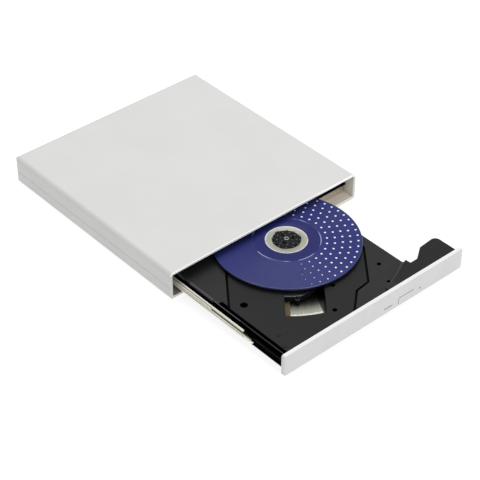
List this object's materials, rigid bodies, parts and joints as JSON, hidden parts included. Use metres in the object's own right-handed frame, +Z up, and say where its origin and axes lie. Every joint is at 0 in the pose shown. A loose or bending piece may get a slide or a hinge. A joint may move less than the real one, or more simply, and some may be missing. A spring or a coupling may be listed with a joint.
{
  "type": "slim disc drive",
  "caption": "Slim optical disc drive in a flat external case, with a slide-out tray on rails that carries a sprung hub, a laser pickup and a small printed disc behind a front bezel.",
  "frame": {"origin": "on the table under the middle of the outline, with the tray out as in the picture", "axes": "+X right seen from the front, +Y towards the back of the case, +Z up; the tray slides out along -Y"},
  "size_m": [0.132, 0.2182, 0.0172],
  "materials": {
    "case_white": "fine matte",
    "bezel_white": "satin",
    "tray_black": "matte",
    "cover_black": "matte black paint",
    "sheet_steel": "zinc plated",
    "rail_steel": "zinc plated, warm",
    "screw_steel": "plain",
    "rubber_dark": "matte",
    "foam_grey": "open foam",
    "board_green": "solder mask",
    "chip_black": "moulded",
    "connector_cream": "moulded",
    "jack_black": "moulded",
    "port_metal": "plated",
    "guide_grey": "moulded",
    "pipe_clear": "frosted",
    "copper": "enamelled wire",
    "shaft_bright": "ground",
    "motor_metal": "satin",
    "brass_screw": "turned",
    "disc_blue": "printed",
    "hub_black": "satin",
    "sled_dark": "die cast",
    "lens_glass": "coated",
    "ribbon_amber": "polyimide film",
    "lever_cream": "moulded"
  },
  "bodies": {
    "case": {"top_cover": "case_white", "bottom_cover": "case_white", "rubber_feet": "rubber_dark", "case_screws": "screw_steel", "foam_pads": "foam_grey", "bridge_board": "board_green", "bridge_parts": "chip_black", "usb_port": "port_metal", "power_jack": "jack_black", "link_socket": "connector_cream", "pan": "sheet_steel", "lid": "sheet_steel", "lid_screws": "screw_steel", "main_board": "board_green", "main_parts": "chip_black", "link_plug": "connector_cream", "left_guide": "guide_grey", "right_guide": "guide_grey", "latch_post": "screw_steel"},
    "left_rail": {"left_rail": "rail_steel"},
    "right_rail": {"right_rail": "rail_steel"},
    "tray": {"tray": "tray_black", "cover_plate": "cover_black", "cover_screws": "screw_steel", "base_plate": "sheet_steel", "base_screws": "screw_steel", "bezel": "bezel_white", "light_pipe": "pipe_clear", "front_board": "board_green", "lamp": "pipe_clear", "key_switch": "chip_black", "traverse_frame": "sheet_steel", "dampers": "rubber_dark", "damper_screws": "screw_steel", "guide_shafts": "shaft_bright", "feed_motor": "motor_metal", "spindle_base": "sheet_steel", "coils": "copper", "solenoid": "copper", "pickup_ribbon": "ribbon_amber"},
    "spindle": {"rotor": "motor_metal", "turntable_pad": "rubber_dark", "hub": "hub_black", "disc": "disc_blue"},
    "claw_a": {"claw_a": "hub_black"},
    "claw_b": {"claw_b": "hub_black"},
    "claw_c": {"claw_c": "hub_black"},
    "pickup": {"sled": "sled_dark", "sled_shield": "sheet_steel"},
    "lens": {"lens_holder": "hub_black", "lens": "lens_glass"},
    "lead_screw": {"lead_screw": "brass_screw"},
    "button": {"eject_button": "bezel_white"},
    "latch": {"latch_lever": "lever_cream"},
    "plunger": {"plunger": "screw_steel"}
  },
  "joints": [
    {"name": "tray_slide", "type": "slide", "parent": "case", "child": "tray", "axis": [0, -1, 0], "range_m": [-0.082, 0.046]},
    {"name": "left_rail_slide", "type": "slide", "parent": "case", "child": "left_rail", "axis": [0, -1, 0], "range_m": [-0.0615, 0.0345]},
    {"name": "right_rail_slide", "type": "slide", "parent": "case", "child": "right_rail", "axis": [0, -1, 0], "range_m": [-0.0615, 0.0345]},
    {"name": "spindle_spin", "type": "hinge", "parent": "tray", "child": "spindle", "pos_m": [0.002, -0.0409, 0], "axis": [0, 0, 1], "continuous": true},
    {"name": "sled_slide", "type": "slide", "parent": "tray", "child": "pickup", "axis": [-0.6428, -0.766, 0], "range_m": [-0.005, 0.028]},
    {"name": "lead_screw_turn", "type": "hinge", "parent": "tray", "child": "lead_screw", "pos_m": [-0.01409, -0.0274, 0.00717], "axis": [-0.6428, -0.766, 0], "range_deg": [-601, 3361]},
    {"name": "lens_focus", "type": "slide", "parent": "pickup", "child": "lens", "axis": [0, 0, 1], "range_m": [-0.0003, 0.0003], "stiffness_N_per_m": 40},
    {"name": "button_press", "type": "slide", "parent": "tray", "child": "button", "axis": [0, 1, 0], "range_m": [0, 0.0006], "stiffness_N_per_m": 1500},
    {"name": "plunger_slide", "type": "slide", "parent": "tray", "child": "plunger", "axis": [-1, 0, 0], "range_m": [0, 0.00157], "stiffness_N_per_m": 300},
    {"name": "latch_turn", "type": "hinge", "parent": "tray", "child": "latch", "pos_m": [-0.038, -0.0189, 0.0044], "axis": [0, 0, 1], "range_deg": [-15.1, 0.1]},
    {"name": "claw_a_slide", "type": "slide", "parent": "spindle", "child": "claw_a", "axis": [0, -1, 0], "range_m": [0, 0.0006], "stiffness_N_per_m": 800},
    {"name": "claw_b_slide", "type": "slide", "parent": "spindle", "child": "claw_b", "axis": [0.866, 0.5, 0], "range_m": [0, 0.0006], "stiffness_N_per_m": 800},
    {"name": "claw_c_slide", "type": "slide", "parent": "spindle", "child": "claw_c", "axis": [-0.866, 0.5, 0], "range_m": [0, 0.0006], "stiffness_N_per_m": 800}
  ],
  "couplings": [
    {"joint": "left_rail_slide", "follows": "tray_slide", "ratio": 0.75},
    {"joint": "right_rail_slide", "follows": "tray_slide", "ratio": 0.75},
    {"joint": "lead_screw_turn", "follows": "sled_slide", "rad_per_m": 2094.4},
    {"joint": "latch_turn", "follows": "plunger_slide", "rad_per_m": -166.67}
  ]
}
